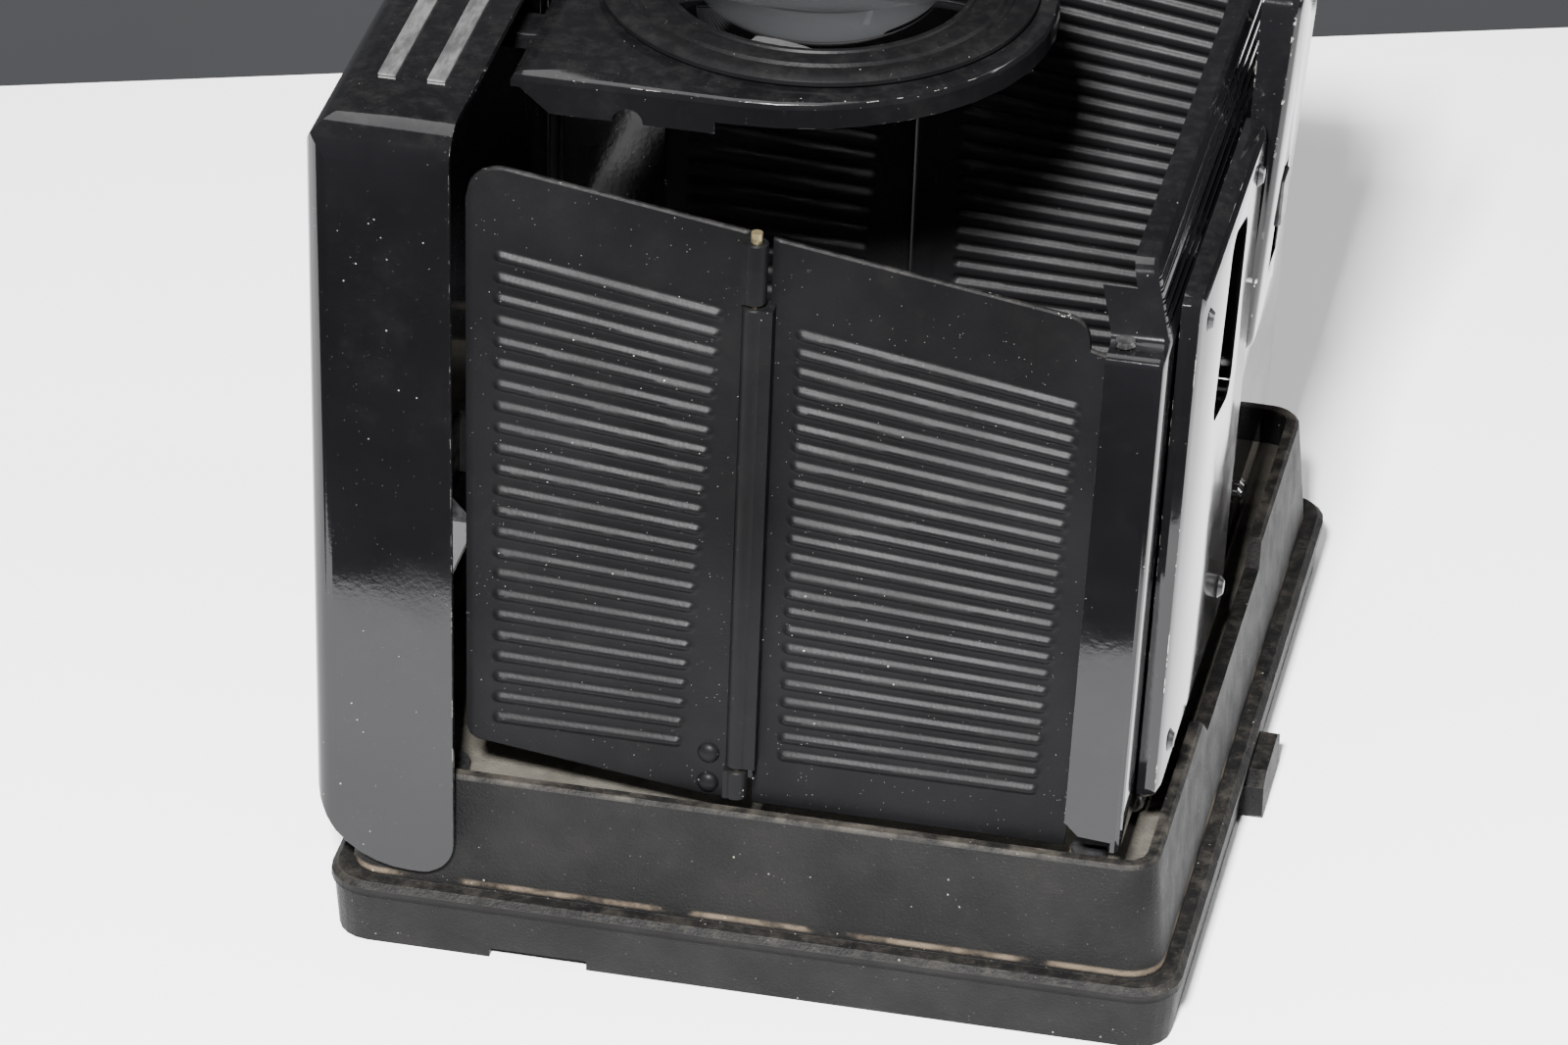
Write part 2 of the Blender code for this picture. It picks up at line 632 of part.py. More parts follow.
def build_rear_wall():
    low = REAR_BOTTOM - 4

    def outline(half, foot, shelf, top, shelf_in, radii):
        points = [(-half, foot), (half, foot), (half, shelf), (half - shelf_in, shelf),
                  (half - shelf_in - 1.2, top), (-half + shelf_in + 1.2, top),
                  (-half + shelf_in, shelf), (-half, shelf)]
        return rounded(points, radii, 3)

    wall = prism("rear_wall", outline(REAR_HALF, REAR_BOTTOM, REAR_CORNER_Z, REAR_TOP, SHELF_IN,
                                      (0.0, 0.0, 0.9, 1.4, 2.4, 2.4, 1.4, 0.9)),
                 "X", SIDE_FLANGE_X, REAR_X)
    bend_long_edges(wall, lambda p: abs(p.x - REAR_X) < 0.01, 0.6, 2)
    cut(wall, prism("rear_hollow", outline(REAR_HALF - SHEET, low, REAR_CORNER_Z - SHEET, REAR_TOP - SHEET,
                                           SHELF_IN, (0, 0, 0.4, 1.8, 1.8, 1.8, 1.8, 0.4)),
                    "X", SIDE_FLANGE_X - 3, REAR_X - SHEET, cutters))
    # the top lip is narrower than the side flanges
    cut(wall, box("lip_trim", SIDE_FLANGE_X - 3, LIP_X, -REAR_HALF + SHELF_IN + 0.8,
                  REAR_HALF - SHELF_IN - 0.8, REAR_CORNER_Z + 0.6, REAR_TOP + 2, cutters))
    cut(wall, box("shelf_trim", SIDE_FLANGE_X - 3, LIP_X - 1.6, -REAR_HALF + SHELF_IN + 0.8,
                  REAR_HALF - SHELF_IN - 0.8, REAR_CORNER_Z - 2.4, REAR_CORNER_Z + 1.0, cutters))
    # rounded lower ends of the side flanges
    for side in (-1, 1):
        cut(wall, prism("flange_foot_%d" % side, [
            (SIDE_FLANGE_X - 1, REAR_BOTTOM - 1), (REAR_X - SHEET - 0.3, REAR_BOTTOM - 1),
            (REAR_X - SHEET - 0.3, 23.6), (SIDE_FLANGE_X + 1.6, 23.9), (SIDE_FLANGE_X + 0.3, 25.2),
            (SIDE_FLANGE_X - 1, 26.1)], "Y",
            *sorted((side * (REAR_HALF - 2.4), side * (REAR_HALF + 1))), cutters))
        lo, hi = sorted((side * (post_y - 1.1), side * (REAR_HALF - SHEET + 0.2)))
        for k, (a, b) in enumerate(((26.0, 27.4),)):
            add(wall, rod("post_lug_%d_%d" % (side, k), "Z", (POST_X, side * post_y), 1.25, a, b, 16, cutters))
            add(wall, box("lug_web_%d_%d" % (side, k), POST_X + 0.08, REAR_X - SHEET + 0.2, lo, hi, a + 0.05, b - 0.05,
                          cutters))
            cut(wall, rod("post_bore_%d" % side, "Z", (POST_X, side * post_y), HINGE_PIN_R + 0.2,
                          a - 0.5, b + 0.5, 14, cutters))
        cut(wall, rod("shelf_bore_%d" % side, "Z", (POST_X, side * post_y), HINGE_PIN_R + 0.4,
                      REAR_CORNER_Z - 2, REAR_CORNER_Z + 2, 14, cutters))
        a, b = sorted((side * 20.0, side * 26.0))
        add(wall, rod("rear_knuckle_%d" % side, "Y", (REAR_PIVOT_X, REAR_PIVOT_Z), REAR_KNUCKLE_R,
                      a, b, 20, cutters))
        add(wall, box("rear_web_%d" % side, REAR_X - SHEET + 0.04, REAR_X - 0.04, a + 0.06, b - 0.06,
                      REAR_PIVOT_Z + 0.07, REAR_BOTTOM + 1, cutters))
        cut(wall, rod("rear_bore_%d" % side, "Y", (REAR_PIVOT_X, REAR_PIVOT_Z), REAR_PIN_R + 0.25,
                      a - 1, b + 1, 16, cutters))
    # opening behind the slide
    cut(wall, box("slide_slot", REAR_X - 3, REAR_X + 2, SLIDE_Y - 2.0, SLIDE_Y + 2.0,
                  60.0, 76.0, cutters))
    finish(wall, "gloss")
    lean(wall, wall_shift)
    shade(wall)
    hang(wall, rear_axis)
    return wall


rear_wall = build_rear_wall()

for side, tag in ((-1, "near"), (1, "far")):
    lo, hi = sorted((side * 11.6, side * 36.0))
    finish(shade(rod("rear_hinge_pin_" + tag, "Y", (REAR_PIVOT_X, REAR_PIVOT_Z), REAR_PIN_R, lo, hi, 14)),
           "steel")

for side, tag in ((-1, "near"), (1, "far")):
    lo, hi = sorted((side * 31.8, side * 35.4))
    spring = meshed(coil("rear_spring_" + tag, "Y", (REAR_PIVOT_X, REAR_PIVOT_Z), 1.4, 0.25,
                         lo, hi, 4.5, 0.8))
    finish(spring, "steel")

def build_raised_plate():
    x0 = REAR_X + GAP
    outline = rounded([(PLATE_Y0, PLATE_Z0), (PLATE_Y1, PLATE_Z0), (PLATE_Y1, PLATE_Z1),
                       (PLATE_Y0, PLATE_Z1)], 2.0, 3)
    plate = prism("rear_raised_plate", outline, "X", x0, x0 + PLATE_T)
    bend_long_edges(plate, lambda p: abs(p.x - x0 - PLATE_T) < 0.01, 1.5, 2)
    window = rounded([(-26.0, 63.0), (-13.0, 60.0), (-11.0, 81.5), (-22.0, 84.5)], 2.5, 5)
    cut(plate, prism("plate_window", window, "X", x0 - 1, x0 + PLATE_T + 1, cutters))
    finish(plate, "gloss")
    lean(plate, post_shift)
    shade(plate)
    hang(plate, rear_axis)


build_raised_plate()


def build_housing():
    x0 = REAR_X + GAP
    outline = rounded([(HOUSING_Y0, HOUSING_Z0), (HOUSING_Y1, HOUSING_Z0), (HOUSING_Y1, HOUSING_Z1),
                       (HOUSING_Y0, HOUSING_Z1)], 2.2, 3)
    housing = prism("catch_housing", outline, "X", x0, x0 + HOUSING_T)
    for v in housing.data.vertices:
        if v.co.x > (x0 + 1) * MM:
            v.co.x -= HOUSING_TAPER * MM * (1 - (v.co.z / MM - HOUSING_Z0) / (HOUSING_Z1 - HOUSING_Z0))
    bend_long_edges(housing, lambda p: p.x > x0 + 1, 1.2, 3)
    cut(housing, prism("housing_hollow", [
        (x0 - 1, HOUSING_Z0 - 2), (x0 + HOUSING_T - HOUSING_TAPER - 0.85, HOUSING_Z0 - 2),
        (x0 + HOUSING_T - 0.8, HOUSING_Z1 - 1.4), (x0 - 1, HOUSING_Z1 - 1.4)], "Y",
        HOUSING_Y0 + 1.4, HOUSING_Y1 - 1.4, cutters))
    cut(housing, box("housing_slot", x0 + 1.4, x0 + HOUSING_T + 1, SLIDE_Y - 2.5, SLIDE_Y + 2.5,
                     64.0, 76.0, cutters))
    finish(housing, "gloss")
    lean(housing, post_shift)
    shade(housing)
    hang(housing, rear_axis)


build_housing()

slide_axis = pivot("slide_axis", REAR_X + 3.0, SLIDE_Y, 68.0)
slide = box("catch_slide", REAR_X + 0.6, REAR_X + 1.6, SLIDE_Y - 5.0, SLIDE_Y + 5.0, 60.0, 94.0)
add(slide, box("slide_button", REAR_X + 1.2, REAR_X + GAP + HOUSING_T - 0.9, SLIDE_Y - 2.0, SLIDE_Y + 2.0,
               69.0, 75.0, cutters))
lean(slide, post_shift)
soften(slide, 0.25, 1)
finish(slide, "black_steel")
hang(slide, slide_axis)
slide_axis.location -= rear_axis.location
slide_axis.parent = rear_axis
spring = meshed(coil("catch_spring", "Z", (REAR_X + 1.9, SLIDE_Y), 1.0, 0.2, 94.5, 99.4, 5, 0.0))
finish(spring, "steel")
lean(spring, post_shift)
hang(spring, rear_axis)

for k, (y, z) in enumerate(((PLATE_Y0 + 5, 30.0), (PLATE_Y1 - 5, 30.0),
                            (PLATE_Y0 + 5, 83.0), (PLATE_Y1 - 5, 83.0))):
    rivet = rod("plate_rivet_%d" % (k + 1), "X", (y, z), 1.3, REAR_X + GAP + PLATE_T + 0.05,
                REAR_X + GAP + PLATE_T + 0.6, 16, None, 0.8)
    lean(rivet, post_shift)
    hang(shade(finish(rivet, "black_steel")), rear_axis)

# ------------------------------------------------------------------ side walls


def top_z(x):
    return TOP_FRONT_Z - (x - FRONT_END_X) * TOP_SLOPE


def rib_block(name, x0, x1, count, inset_right):
    """Fanned ribs: level at the bottom, parallel to the sloping top edge at the top."""
    bm = bmesh.new()
    high_drop = 10.7
    for k in range(count):
        f = k / (count - 1)
        right = x1 - inset_right * (1 - f)
        made = bmesh.ops.create_cube(bm, size=1.0)
        for v in made["verts"]:
            x = x0 if v.co.x < 0 else right
            z = RIB_LOW_Z + (top_z(x) - high_drop - RIB_LOW_Z) * f + v.co.z * RIB_W
            y = -WALL_Y - RIB_H if v.co.y < 0 else -WALL_Y + SHEET * 0.6
            v.co = Vector((x, y, z)) * MM
    return new_object(name, bm, cutters)


def mirror_y(ob):
    ob.data.transform(Matrix.Scale(-1, 4, (0, 1, 0)))
    ob.data.flip_normals()
    return ob


def half_panel(name, outline, side, ribs, knuckles):
    outer, inner = -WALL_Y, -WALL_Y + SHEET
    panel = prism(name, outline, "Y", outer, inner)
    parts = [("UNION", rib_block(name + "_ribs", *ribs))]
    for (x, y, r, bore, spans, web_x0, web_x1) in knuckles:
        for k, (a, b) in enumerate(spans):
            tag = "%s_k_%d_%d" % (name, int(x), k)
            parts.append(("UNION", rod(tag, "Z", (x, y), r, a, b, 16, cutters)))
            parts.append(("UNION", box(tag + "_web", web_x0, web_x1, outer + 0.02 if y > outer else y + 0.07,
                                       inner - 0.02, a + 0.06, b - 0.06, cutters)))
            parts.append(("DIFFERENCE", rod(tag + "_bore", "Z", (x, y), bore, a - 0.2, b + 0.2, 12,
                                            cutters)))
    if side > 0:
        mirror_y(panel)
        for _, ob in parts:
            mirror_y(ob)
    for operation, ob in parts:
        boolean(panel, ob, operation)
    finish(panel, "satin")
    return panel


mid_y = WALL_Y + MID_OUT
TOP_KNUCKLE = (85.0, top_z(MID_X) - 0.2)
MID_KNUCKLE = (27.0, 84.6)
LOW_KNUCKLE = (23.0, 26.6)
HOLE = HINGE_PIN_R + 0.2

for side, tag in ((-1, "near"), (1, "far")):
    hinge_z = 50.0
    post_hinge = (POST_X + panel_shift(POST_X, hinge_z), side * post_y, hinge_z)
    mid_hinge = (MID_X + panel_shift(MID_X, hinge_z), side * mid_y, hinge_z)
    rear_fold = pivot(tag + "_rear_fold", *post_hinge)
    rear_fold.location -= rear_axis.location
    rear_fold.parent = rear_axis
    mid_fold = pivot(tag + "_mid_fold", *mid_hinge)

    rear_start = MID_X + 1.5
    corner_x = POST_X - 3.4
    rear_outline = rounded([
        (rear_start, PANEL_BOTTOM), (POST_X - 1.4, PANEL_BOTTOM), (POST_X - 1.4, 27.8), (POST_X - 0.3, 27.8),
        (POST_X - 0.3, 82.4), (corner_x, 82.4), (corner_x, top_z(corner_x)),
        (rear_start, top_z(rear_start))], (0.8, 1.0, 0, 0, 0, 0, 2.0, 0.6), 4)
    rear_half = half_panel(tag + "_rear_panel", rear_outline, side,
                           (rear_start + 2.7, POST_X - 3.7, REAR_RIBS, 1.2),
                           [(MID_X, -mid_y, KNUCKLE_R, HOLE, [MID_KNUCKLE], MID_X + 0.09, rear_start + 0.5),
                            (POST_X, -post_y, POST_KNUCKLE_R, HOLE, [(28.2, 82.1)], POST_X - 0.83, POST_X - 0.06)])
    front_end = MID_X - 1.5
    front_outline = rounded([
        (FRONT_END_X, FRONT_LIFT_Z), (front_end - 2.0, PANEL_BOTTOM + 0.2), (front_end, PANEL_BOTTOM + 0.2),
        (front_end, top_z(front_end)), (FRONT_END_X, TOP_FRONT_Z)], (1.6, 2.0, 0.5, 0.6, 4.6), 4)
    front_half = half_panel(tag + "_front_panel", front_outline, side,
                            (FRONT_END_X + 3.0, front_end - 1.8, FRONT_RIBS, 3.0),
                            [(MID_X, -mid_y, KNUCKLE_R, HOLE, [TOP_KNUCKLE, LOW_KNUCKLE],
                              front_end - 0.5, MID_X - 0.09)])
    # two domed stops at the foot of the front half
    for k, z in enumerate((23.6, 27.4)):
        pip = rod("%s_pip_%d" % (tag, k), "Y", (front_end - 1.9, z), 1.1,
                  *sorted((side * (WALL_Y - 0.3), side * (WALL_Y + 0.7))), 14, cutters)
        boolean(front_half, pip, "UNION")

    mid_pin = rod(tag + "_mid_pin", "Z", (MID_X, side * mid_y), HINGE_PIN_R, 22.8, top_z(MID_X) + 0.9, 12)
    finish(mid_pin, "brass")
    post_pin = rod(tag + "_post_pin", "Z", (POST_X, side * post_y), HINGE_PIN_R, 24.6,
                   REAR_CORNER_Z + GAP + 0.2, 12)
    add(post_pin, rod(tag + "_pin_head", "Z", (POST_X, side * post_y), 1.1, REAR_CORNER_Z + GAP,
                      REAR_CORNER_Z + 0.9, 18, cutters, 1.0))
    finish(post_pin, "brass")
    for piece in (rear_half, front_half, mid_pin, post_pin):
        shade(lean(settle(piece), panel_shift))

    mid_fold.location -= Vector(post_hinge) * MM
    rear_home = pivot("rear_home", *post_hinge)
    mid_home = pivot("mid_home", *mid_hinge)
    for piece, home, empty in ((rear_half, rear_home, rear_fold), (mid_pin, rear_home, rear_fold),
                               (front_half, mid_home, mid_fold)):
        hang(piece, home)
        piece.parent = empty
        for mod in piece.modifiers:
            if mod.type == "BOOLEAN":
                mod.object.parent = empty
    hang(post_pin, rear_axis)
    mid_fold.parent = rear_fold
    bpy.data.objects.remove(rear_home, do_unlink=True)
    bpy.data.objects.remove(mid_home, do_unlink=True)

# ------------------------------------------------------------------ magnifier
mag_axis = pivot("magnifier_axis", MAG_PIVOT_X, 0.0, MAG_PIVOT_Z)

lid_inner = LID_X0 + SHEET + lid_shift(0, MAG_PIVOT_Z)
bracket = box("magnifier_bracket", lid_inner + GAP, lid_inner + GAP + 0.8, -EAR_Y - 1.2, EAR_Y + 1.2,
              MAG_PIVOT_Z - 7.5, MAG_PIVOT_Z + 2.2)
for side in (-1, 1):
    lo, hi = sorted((side * EAR_Y, side * (EAR_Y + 1.2)))
    ear_x, ear_top = MAG_PIVOT_X + 2.0, MAG_PIVOT_Z + 2.2
    ear = rounded([(lid_inner + GAP, MAG_PIVOT_Z - 6.0), (ear_x, MAG_PIVOT_Z - 2.0), (ear_x, ear_top),
                   (lid_inner + GAP, ear_top)], (0, 1.4, 1.4, 0), 3)
    add(bracket, prism("bracket_ear_%d" % side, ear, "Y", lo, hi, cutters))
cut(bracket, rod("bracket_bore", "Y", (MAG_PIVOT_X, MAG_PIVOT_Z), MAG_PIN_R + 0.25, -30, 30, 16, cutters))
shade(finish(bracket, "black_steel"))
hang(bracket, lid_axis)

bm = rod_bm("Y", (MAG_PIVOT_X, MAG_PIVOT_Z), MAG_PIN_R, -EAR_Y - 2.0, EAR_Y + 2.0, 16)
hang(shade(finish(new_object("magnifier_pin", bm), "steel")), lid_axis)

for y, tag in ((-14.0, "near"), (14.0, "far")):
    rivet = rod("bracket_rivet_" + tag, "X", (y, MAG_PIVOT_Z - 5.0), 1.4, lid_inner + GAP + 0.85,
                lid_inner + GAP + 1.4, 14, None, 0.9)
    hang(shade(finish(rivet, "steel")), lid_axis)

spring = meshed(coil("magnifier_spring", "Y", (MAG_PIVOT_X, MAG_PIVOT_Z), 1.55, 0.25, -9.0, -3.0, 7.5, 1.2))
finish(spring, "steel")
hang(spring, lid_axis)


def d_outline(inset, left, steps=20):
    """D shape: straight sides from the left edge, then a round end."""
    half, reach = MAG_HALF - inset, MAG_END_R - inset
    pts = [(left, -half), (MAG_END_X, -half)]
    for k in range(1, steps):
        a = -pi / 2 + pi * k / steps
        pts.append((MAG_END_X + reach * cos(a), half * sin(a)))
    return pts + [(MAG_END_X, half), (left, half)]


def build_plate():
    low = MAG_Z - MAG_FLANGE
    plate = prism("magnifier_plate", d_outline(0.0, MAG_LEFT), "Z", low, MAG_Z)
    bend_long_edges(plate, lambda p: abs(p.z - MAG_Z) < 0.01, 0.8, 2)
    cut(plate, prism("plate_hollow", d_outline(MAG_T, MAG_LEFT - 6), "Z", low - 2, MAG_Z - MAG_T, cutters))
    cut(plate, box("round_end_trim", MAG_END_X - 2.0, MAG_END_X + 40, -MAG_HALF - 2, MAG_HALF + 2,
                   low - 2, MAG_Z - MAG_ROUND_FLANGE, cutters))
    cut(plate, rod("plate_hole", "Z", (LENS_X, 0), LENS_R + GAP, MAG_Z - 3, MAG_Z + 2, 40, cutters))
    # slanted flange corner, round notch, and the shallow stretch with its small tab
    cut(plate, prism("flange_slant", [(MAG_LEFT - 1, low - 1), (MAG_LEFT + 5.5, low - 1),
                                      (MAG_LEFT + 1.0, MAG_Z - 1.6), (MAG_LEFT - 1, MAG_Z - 1.6)], "Y",
                     -MAG_HALF - 1, MAG_HALF + 1, cutters))
    cut(plate, rod("flange_notch", "Y", (MAG_LEFT + 13.0, low), 1.7, -MAG_HALF - 2, MAG_HALF + 2, 20, cutters))
    for side in (-1, 1):
        lo, hi = sorted((side * ARM_Y0, side * ARM_Y1))
        add(plate, box("arm_%d" % side, MAG_PIVOT_X, LENS_X - LENS_R - 3.2 + 0.0, lo, hi,
                       MAG_Z - MAG_T - 1.0, MAG_Z - 0.05, cutters))
        add(plate, rod("arm_knuckle_%d" % side, "Y", (MAG_PIVOT_X, MAG_PIVOT_Z), 1.9, lo, hi, 18, cutters))
    cut(plate, rod("arm_bore", "Y", (MAG_PIVOT_X, MAG_PIVOT_Z), MAG_PIN_R + 0.25, -25, 25, 16, cutters))
    finish(plate, "gloss")
    shade(plate)
    hang(plate, mag_axis)


build_plate()

ring = turned("lens_retaining_ring", [
    (RING_IN, MAG_Z + GAP), (RING_OUT, MAG_Z + GAP), (RING_OUT, MAG_Z + 0.9), (RING_OUT - 0.7, MAG_Z + 1.5),
    (RING_IN + 3.0, MAG_Z + 1.5), (RING_IN + 2.4, MAG_Z + 1.0), (RING_IN + 0.8, MAG_Z + 1.0),
    (RING_IN, MAG_Z + 0.8)], (LENS_X, 0.0), True, 56)
hang_turned(finish(ring, "satin"), mag_axis)

seat_z = MAG_Z - MAG_T - 1.9
seat = turned("lens_seat_ring", [
    (LENS_R - 1.6, seat_z - 1.0), (LENS_R + 3.0, seat_z - 1.0), (LENS_R + 3.0, MAG_Z - MAG_T - GAP),
    (LENS_R + 0.4, MAG_Z - MAG_T - GAP), (LENS_R + 0.4, seat_z), (LENS_R - 1.6, seat_z)],
    (LENS_X, 0.0), True, 48)
hang_turned(finish(seat, "satin"), mag_axis)

lens_low = seat_z + GAP
lens_top = MAG_Z
profile = []
bulge_r = (LENS_R ** 2 + LENS_BULGE ** 2) / (2 * LENS_BULGE)
seat_r = RING_IN - 0.6
for k in range(8):
    r = seat_r * k / 7
    profile.append((r, lens_top - 0.2 + sqrt(bulge_r ** 2 - r ** 2) - sqrt(bulge_r ** 2 - seat_r ** 2)))
profile += [(LENS_R, lens_top - 0.2), (LENS_R, lens_low), (LENS_R - 1.8, lens_low), (0.0, lens_low - 0.9)]
lens = turned("magnifier_lens", profile, (LENS_X, 0.0), False, 48)
hang_turned(finish(lens, "glass"), mag_axis)

for ob in list(cutters.objects):
    ob.hide_render = True
    ob.display_type = "WIRE"
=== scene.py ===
import json
from math import cos, pi, radians, sin, sqrt, tan

import bmesh
import bpy
from mathutils import Matrix, Vector


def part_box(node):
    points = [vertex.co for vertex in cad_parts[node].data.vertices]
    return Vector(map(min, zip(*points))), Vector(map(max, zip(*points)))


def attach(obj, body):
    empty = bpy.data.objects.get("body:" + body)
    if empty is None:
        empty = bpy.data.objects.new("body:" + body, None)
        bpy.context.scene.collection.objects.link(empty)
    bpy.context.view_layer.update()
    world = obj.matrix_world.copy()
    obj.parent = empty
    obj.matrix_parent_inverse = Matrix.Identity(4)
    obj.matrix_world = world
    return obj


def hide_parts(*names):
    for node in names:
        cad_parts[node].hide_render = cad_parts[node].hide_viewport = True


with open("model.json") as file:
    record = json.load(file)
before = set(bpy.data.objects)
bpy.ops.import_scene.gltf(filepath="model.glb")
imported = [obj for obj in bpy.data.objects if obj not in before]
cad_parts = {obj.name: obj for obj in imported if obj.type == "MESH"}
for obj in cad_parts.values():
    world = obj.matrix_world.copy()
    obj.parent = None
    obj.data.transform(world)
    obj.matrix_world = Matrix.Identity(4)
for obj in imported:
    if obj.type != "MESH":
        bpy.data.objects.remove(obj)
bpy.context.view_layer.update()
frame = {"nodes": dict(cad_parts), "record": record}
mm = 0.001
print("stage: frame loaded")

hood = bpy.data.collections.new("hood")
bpy.context.scene.collection.children.link(hood)


# A material under construction, with short calls for the nodes it needs.
class Shader:
    def __init__(self, name):
        self.mat = bpy.data.materials.new(name)
        self.mat.use_nodes = True
        self.tree = self.mat.node_tree
        self.tree.nodes.clear()
        self.out = self.node("ShaderNodeOutputMaterial")
        self.skin = self.node("ShaderNodeBsdfPrincipled")
        self.link(self.skin.outputs[0], self.out.inputs[0])
        self.coords = self.node("ShaderNodeTexCoord")

    def node(self, kind):
        return self.tree.nodes.new(kind)

    def link(self, a, b):
        self.tree.links.new(a, b)

    def put(self, socket, value):
        if isinstance(value, bpy.types.NodeSocket):
            self.link(value, socket)
        else:
            if isinstance(value, tuple) and len(value) == 3 and len(socket.default_value) == 4:
                value = value + (1.0,)
            socket.default_value = value

    def place(self, stretch=None):
        if stretch is None:
            return self.coords.outputs["Object"]
        mapping = self.node("ShaderNodeMapping")
        mapping.inputs["Scale"].default_value = stretch
        self.link(self.coords.outputs["Object"], mapping.inputs["Vector"])
        return mapping.outputs[0]

    def span(self, value, low, high, to=(0.0, 1.0)):
        ramp = self.node("ShaderNodeMapRange")
        ramp.interpolation_type = "SMOOTHSTEP"
        self.put(ramp.inputs["Value"], value)
        ramp.inputs["From Min"].default_value = low
        ramp.inputs["From Max"].default_value = high
        ramp.inputs["To Min"].default_value = to[0]
        ramp.inputs["To Max"].default_value = to[1]
        return ramp.outputs[0]

    def noise(self, scale, detail=4.0, stretch=None, rough=0.55):
        tex = self.node("ShaderNodeTexNoise")
        self.link(self.place(stretch), tex.inputs["Vector"])
        tex.inputs["Scale"].default_value = scale
        tex.inputs["Detail"].default_value = detail
        tex.inputs["Roughness"].default_value = rough
        return tex.outputs[0]

    # Small scattered dots: one cell in a share of the cells carries one.
    def specks(self, scale, size, share):
        tex = self.node("ShaderNodeTexVoronoi")
        self.link(self.place(), tex.inputs["Vector"])
        tex.inputs["Scale"].default_value = scale
        parts = self.node("ShaderNodeSeparateColor")
        self.link(tex.outputs["Color"], parts.inputs[0])
        chosen = self.span(parts.outputs[0], 1.0 - share, 1.0 - share + 0.01)
        reach = self.math("MULTIPLY", parts.outputs[1], size)
        near = self.math("LESS_THAN", tex.outputs["Distance"], reach)
        return self.math("MULTIPLY", chosen, near)

    def math(self, kind, a, b=0.0):
        part = self.node("ShaderNodeMath")
        part.operation = kind
        part.use_clamp = kind in ("ADD", "MULTIPLY", "SUBTRACT")
        self.put(part.inputs[0], a)
        self.put(part.inputs[1], b)
        return part.outputs[0]

    def axis(self, which, source="Object"):
        parts = self.node("ShaderNodeSeparateXYZ")
        self.link(self.coords.outputs[source], parts.inputs[0])
        return parts.outputs["XYZ".index(which)]

    def band(self, which, low, high, soft):
        value = self.axis(which)
        inside = self.span(value, low - soft, low + soft)
        return self.math("MULTIPLY", inside, self.span(value, high - soft, high + soft, (1.0, 0.0)))

    # One round patch about a point of the object, in metres.
    def spot(self, centre, radius):
        gap = self.node("ShaderNodeVectorMath")
        gap.operation = "DISTANCE"
        self.link(self.coords.outputs["Object"], gap.inputs[0])
        gap.inputs[1].default_value = centre
        wobble = self.math("MULTIPLY", self.noise(900, 3), radius * 0.8)
        reach = self.math("ADD", gap.outputs["Value"], wobble)
        return self.span(reach, radius * 0.9, radius * 1.3, (1.0, 0.0))

    def mix(self, fac, a, b):
        part = self.node("ShaderNodeMix")
        part.data_type = "RGBA"
        self.put(part.inputs[0], fac)
        self.put(part.inputs[6], a)
        self.put(part.inputs[7], b)
        return part.outputs[2]

    def blend(self, fac, a, b):
        part = self.node("ShaderNodeMix")
        part.data_type = "FLOAT"
        self.put(part.inputs[0], fac)
        self.put(part.inputs[2], a)
        self.put(part.inputs[3], b)
        return part.outputs[0]

    def bump(self, height, strength, distance, under=None):
        part = self.node("ShaderNodeBump")
        part.inputs["Strength"].default_value = strength
        part.inputs["Distance"].default_value = distance
        self.link(height, part.inputs["Height"])
        if under is not None:
            self.link(under, part.inputs["Normal"])
        return part.outputs[0]


def blackFinish(name, look, extra=None, relief=None):
    s = Shader(name)
    cloud = s.noise(look["cloudScale"], 6)
    colour = s.mix(s.span(cloud, 0.3, 0.7), look["dark"], look["light"])
    patch = s.span(s.noise(look["cloudScale"] * 2.7, 5), 0.3, 0.75)
    rough = s.blend(patch, look["rough"][0], look["rough"][1])
    up = s.span(s.axis("Z", "Normal"), 0.35, 0.95)
    film = s.math("MULTIPLY", up, s.span(s.noise(420, 8, rough=0.75), 0.42, 0.70))
    film = s.math("MULTIPLY", film, look["film"])
    haze = s.math("MULTIPLY", s.span(s.noise(120, 9, rough=0.72), 0.5, 0.75), look["haze"])
    dust = s.math("ADD", film, haze)
    if extra is not None:
        for fac, tint, tintRough in extra(s):
            colour = s.mix(fac, colour, tint)
            rough = s.blend(fac, rough, tintRough)
    colour = s.mix(dust, colour, look["dust"])
    rough = s.blend(s.math("MULTIPLY", dust, 1.6), rough, 0.75)
    dots = s.math("MULTIPLY", s.specks(look["speckScale"], look["speckSize"], look["speckShare"]),
                  s.span(s.noise(70, 3), 0.42, 0.62))
    fine = s.specks(look["speckScale"] * 2.3, look["speckSize"], look["speckShare"] * 0.7)
    dots = s.math("ADD", dots, s.math("MULTIPLY", fine, 0.5))
    colour = s.mix(dots, colour, look["speck"])
    rough = s.blend(dots, rough, 0.8)
    wear = s.span(s.noise(look["chipScale"], 5, rough=0.75), look["chip"], look["chip"] + 0.02)
    wear = s.math("MULTIPLY", wear, s.span(s.noise(look["chipScale"] * 0.13, 3), 0.4, 0.6))
    colour = s.mix(wear, colour, look["metal"])
    rough = s.blend(wear, rough, 0.32)
    s.put(s.skin.inputs["Base Color"], colour)
    s.put(s.skin.inputs["Roughness"], rough)
    s.put(s.skin.inputs["Metallic"], wear)
    s.skin.inputs["Specular IOR Level"].default_value = look["specular"]
    normal = s.bump(s.noise(look["grainScale"], 3), look["grain"], 0.0003)
    normal = s.bump(wear, 0.35, -0.0001, normal)
    wave = s.noise(38, 2)
    normal = s.bump(wave, look["wave"], 0.002, normal)
    if relief is not None:
        normal = s.bump(relief(s), 1.0, 0.0004, normal)
    s.put(s.skin.inputs["Normal"], normal)
    return s.mat


